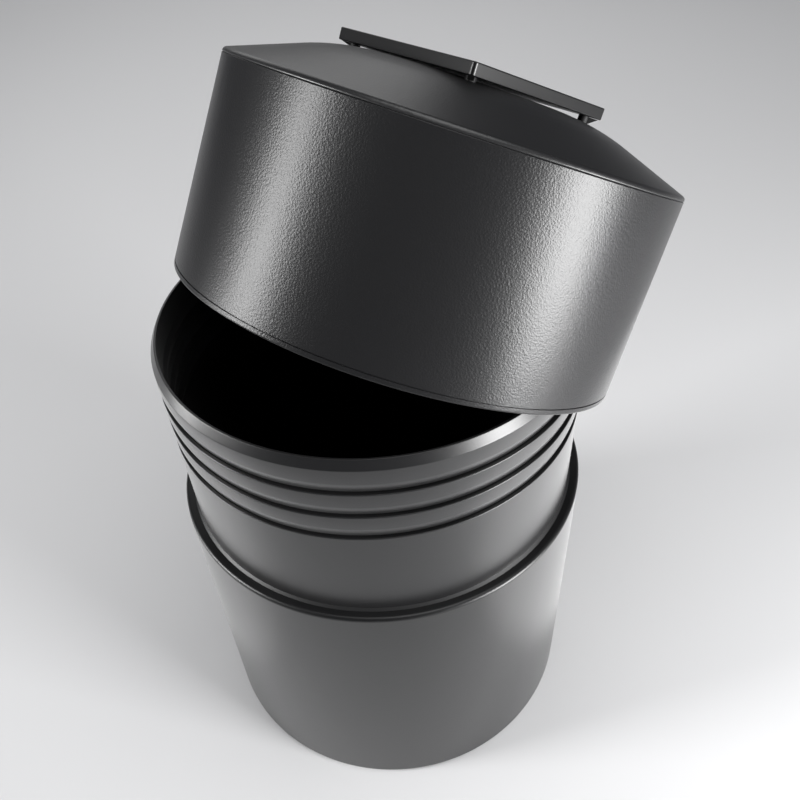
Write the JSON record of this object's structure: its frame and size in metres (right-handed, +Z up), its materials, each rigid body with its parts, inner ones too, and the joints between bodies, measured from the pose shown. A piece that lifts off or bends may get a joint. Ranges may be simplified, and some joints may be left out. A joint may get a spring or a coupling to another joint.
{
  "type": "rock tumbler barrel",
  "caption": "Round double-walled plastic tub with a grooved neck and a deep telescoping lid set askew on its rim, with a low square handle plate.",
  "frame": {"origin": "centre of the flat resting face under the tub", "axes": "+Z up along the tub's axis, -Y towards the front, +X to the right seen from the front; the lid leans towards +X and +Y"},
  "size_m": [0.2366, 0.2332, 0.354],
  "materials": {
    "shell": "satin",
    "liner": "satin",
    "bead": "satin",
    "foam": "matte",
    "base": "matte",
    "pad": "matte",
    "screws": "satin",
    "washers": "satin",
    "skirt": "matte",
    "cap": "satin",
    "plug": "gloss",
    "seal": "satin",
    "handle": "gloss",
    "post": "satin"
  },
  "bodies": {
    "tub": {"outer_shell": "shell", "inner_liner": "liner", "ledge_bead": "bead", "foam_sleeve": "foam", "foam_disc": "foam", "base_plate": "base", "base_pad": "pad", "base_screws": "screws"},
    "lid": {"lid_skirt": "skirt", "lid_cap": "cap", "lid_plug": "plug", "lid_seal": "seal", "lid_foam": "foam", "handle_plate": "handle", "handle_post_back": "post", "handle_post_left": "post", "handle_post_front": "post", "handle_post_right": "post", "handle_screws": "screws", "handle_washers": "washers"}
  },
  "joints": [
    {"name": "lid_lift", "type": "slide", "parent": "tub", "child": "lid", "axis": [0.362, 0.3202, 0.8755], "range_m": [0, 0.12]}
  ]
}
